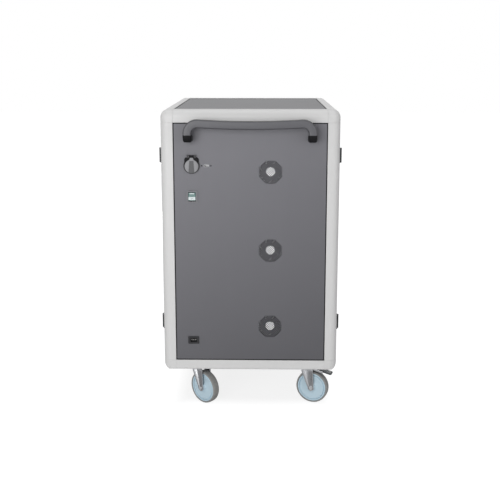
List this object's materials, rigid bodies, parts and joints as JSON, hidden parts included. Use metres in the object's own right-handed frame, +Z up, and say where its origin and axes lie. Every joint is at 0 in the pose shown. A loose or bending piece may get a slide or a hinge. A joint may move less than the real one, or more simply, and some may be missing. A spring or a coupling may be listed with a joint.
{
  "type": "laptop charging cart",
  "caption": "Wheeled laptop charging cabinet with a rounded frame, push handle, ventilated service end, lockable side doors and divided charging shelves.",
  "frame": {"origin": "on the floor under the middle of the overall box, which the push handle makes longer than the cabinet by its reach at the service end", "axes": "+Z up; -Y is the service end with the push handle, fans, switch and sockets; +X is the right-hand side seen from that end, where the adapters are"},
  "size_m": [0.6726, 0.798, 1.137],
  "materials": {
    "frame": "satin powder coat, light grey",
    "sheet": "fine textured powder coat, mid grey",
    "deck": "fine textured powder coat, mid grey",
    "black_plastic": "moulded, satin",
    "lid_plastic": "moulded, satin",
    "rocker_plastic": "moulded, glossy",
    "rotor_plastic": "moulded, satin",
    "divider_plastic": "moulded, satin",
    "zinc": "zinc plated",
    "hinge_steel": "satin",
    "hub_plastic": "moulded, pale grey blue",
    "tyre_rubber": "moulded, non marking grey",
    "pedal_plastic": "moulded, dark grey"
  },
  "bodies": {
    "cabinet": {"corner_posts": "frame", "post_ledges": "frame", "top_beams": "frame", "base_beams": "frame", "top_corners": "frame", "base_corners": "frame", "service_panel": "sheet", "far_panel": "sheet", "top_panel": "deck", "base_plate": "deck", "push_handle": "black_plastic", "handle_bolts": "zinc", "socket_housing": "black_plastic", "data_port": "zinc", "port_screws": "zinc", "switch_bezel": "black_plastic", "mains_inlet": "black_plastic", "power_box": "sheet", "fan_frames": "black_plastic", "shelves": "sheet", "shelf_brackets": "zinc", "bay_dividers": "divider_plastic", "adapter_walls": "sheet", "power_strips": "black_plastic", "hinge_brackets": "hinge_steel", "caster_plates": "zinc", "caster_bolts": "zinc"},
    "door_left": {"door_left": "sheet", "door_hinges_left": "hinge_steel", "lock_case_left": "black_plastic"},
    "door_right": {"door_right": "sheet", "door_hinges_right": "hinge_steel", "lock_case_right": "black_plastic"},
    "lock_left": {"lock_handle_left": "black_plastic", "lock_cam_left": "zinc"},
    "lock_right": {"lock_handle_right": "black_plastic", "lock_cam_right": "zinc"},
    "socket_lid": {"socket_lid": "lid_plastic"},
    "switch_rocker": {"switch_rocker": "rocker_plastic"},
    "fan_lower": {"fan_rotor_lower": "rotor_plastic"},
    "fan_middle": {"fan_rotor_middle": "rotor_plastic"},
    "fan_upper": {"fan_rotor_upper": "rotor_plastic"},
    "fork_near_left": {"fork_near_left": "zinc", "axle_near_left": "zinc"},
    "wheel_near_left": {"hub_near_left": "hub_plastic", "tyre_near_left": "tyre_rubber"},
    "fork_near_right": {"fork_near_right": "zinc", "axle_near_right": "zinc"},
    "wheel_near_right": {"hub_near_right": "hub_plastic", "tyre_near_right": "tyre_rubber"},
    "brake_near_right": {"brake_near_right": "pedal_plastic"},
    "fork_far_left": {"fork_far_left": "zinc", "axle_far_left": "zinc"},
    "wheel_far_left": {"hub_far_left": "hub_plastic", "tyre_far_left": "tyre_rubber"},
    "fork_far_right": {"fork_far_right": "zinc", "axle_far_right": "zinc"},
    "wheel_far_right": {"hub_far_right": "hub_plastic", "tyre_far_right": "tyre_rubber"},
    "brake_far_right": {"brake_far_right": "pedal_plastic"}
  },
  "joints": [
    {"name": "left_door_swing", "type": "hinge", "parent": "cabinet", "child": "door_left", "pos_m": [-0.3295, -0.294, 0.643], "axis": [0, 0, 1], "range_deg": [0, 170]},
    {"name": "right_door_swing", "type": "hinge", "parent": "cabinet", "child": "door_right", "pos_m": [0.3295, -0.294, 0.643], "axis": [0, 0, -1], "range_deg": [0, 170]},
    {"name": "left_lock_turn", "type": "hinge", "parent": "door_left", "child": "lock_left", "pos_m": [-0.324, 0.325, 0.643], "axis": [1, 0, 0], "range_deg": [0, 90]},
    {"name": "right_lock_turn", "type": "hinge", "parent": "door_right", "child": "lock_right", "pos_m": [0.324, 0.325, 0.643], "axis": [1, 0, 0], "range_deg": [0, 90]},
    {"name": "socket_lid_flip", "type": "hinge", "parent": "cabinet", "child": "socket_lid", "pos_m": [-0.212, -0.3445, 0.9695], "axis": [-1, 0, 0], "range_deg": [0, 110], "stiffness_Nm_per_rad": 0.02},
    {"name": "switch_rock", "type": "hinge", "parent": "cabinet", "child": "switch_rocker", "pos_m": [-0.212, -0.334, 0.821], "axis": [1, 0, 0], "range_deg": [0, 14]},
    {"name": "lower_fan_spin", "type": "hinge", "parent": "cabinet", "child": "fan_lower", "pos_m": [0.074, -0.325, 0.328], "axis": [0, 1, 0], "continuous": true},
    {"name": "middle_fan_spin", "type": "hinge", "parent": "cabinet", "child": "fan_middle", "pos_m": [0.074, -0.325, 0.62], "axis": [0, 1, 0], "continuous": true},
    {"name": "upper_fan_spin", "type": "hinge", "parent": "cabinet", "child": "fan_upper", "pos_m": [0.074, -0.325, 0.912], "axis": [0, 1, 0], "continuous": true},
    {"name": "near_left_swivel", "type": "hinge", "parent": "cabinet", "child": "fork_near_left", "pos_m": [-0.205, -0.253, 0.14], "axis": [0, 0, 1], "continuous": true},
    {"name": "near_left_roll", "type": "hinge", "parent": "fork_near_left", "child": "wheel_near_left", "pos_m": [-0.17589, -0.27743, 0.0625], "axis": [0.6428, 0.766, 0], "continuous": true},
    {"name": "near_right_swivel", "type": "hinge", "parent": "cabinet", "child": "fork_near_right", "pos_m": [0.205, -0.253, 0.14], "axis": [0, 0, 1], "continuous": true},
    {"name": "near_right_roll", "type": "hinge", "parent": "fork_near_right", "child": "wheel_near_right", "pos_m": [0.24071, -0.266, 0.0625], "axis": [0.342, 0.9397, 0], "continuous": true},
    {"name": "near_right_brake", "type": "hinge", "parent": "fork_near_right", "child": "brake_near_right", "pos_m": [0.24259, -0.26668, 0.1376], "axis": [0.342, 0.9397, 0], "range_deg": [0, 12]},
    {"name": "far_left_swivel", "type": "hinge", "parent": "cabinet", "child": "fork_far_left", "pos_m": [-0.205, 0.311, 0.14], "axis": [0, 0, 1], "continuous": true},
    {"name": "far_left_roll", "type": "hinge", "parent": "fork_far_left", "child": "wheel_far_left", "pos_m": [-0.17209, 0.292, 0.0625], "axis": [0.5, 0.866, 0], "continuous": true},
    {"name": "far_right_swivel", "type": "hinge", "parent": "cabinet", "child": "fork_far_right", "pos_m": [0.205, 0.311, 0.14], "axis": [0, 0, 1], "continuous": true},
    {"name": "far_right_roll", "type": "hinge", "parent": "fork_far_right", "child": "wheel_far_right", "pos_m": [0.23972, 0.29554, 0.0625], "axis": [0.4067, 0.9135, 0], "continuous": true},
    {"name": "far_right_brake", "type": "hinge", "parent": "fork_far_right", "child": "brake_far_right", "pos_m": [0.24154, 0.29473, 0.1376], "axis": [0.4067, 0.9135, 0], "range_deg": [0, 12]}
  ]
}
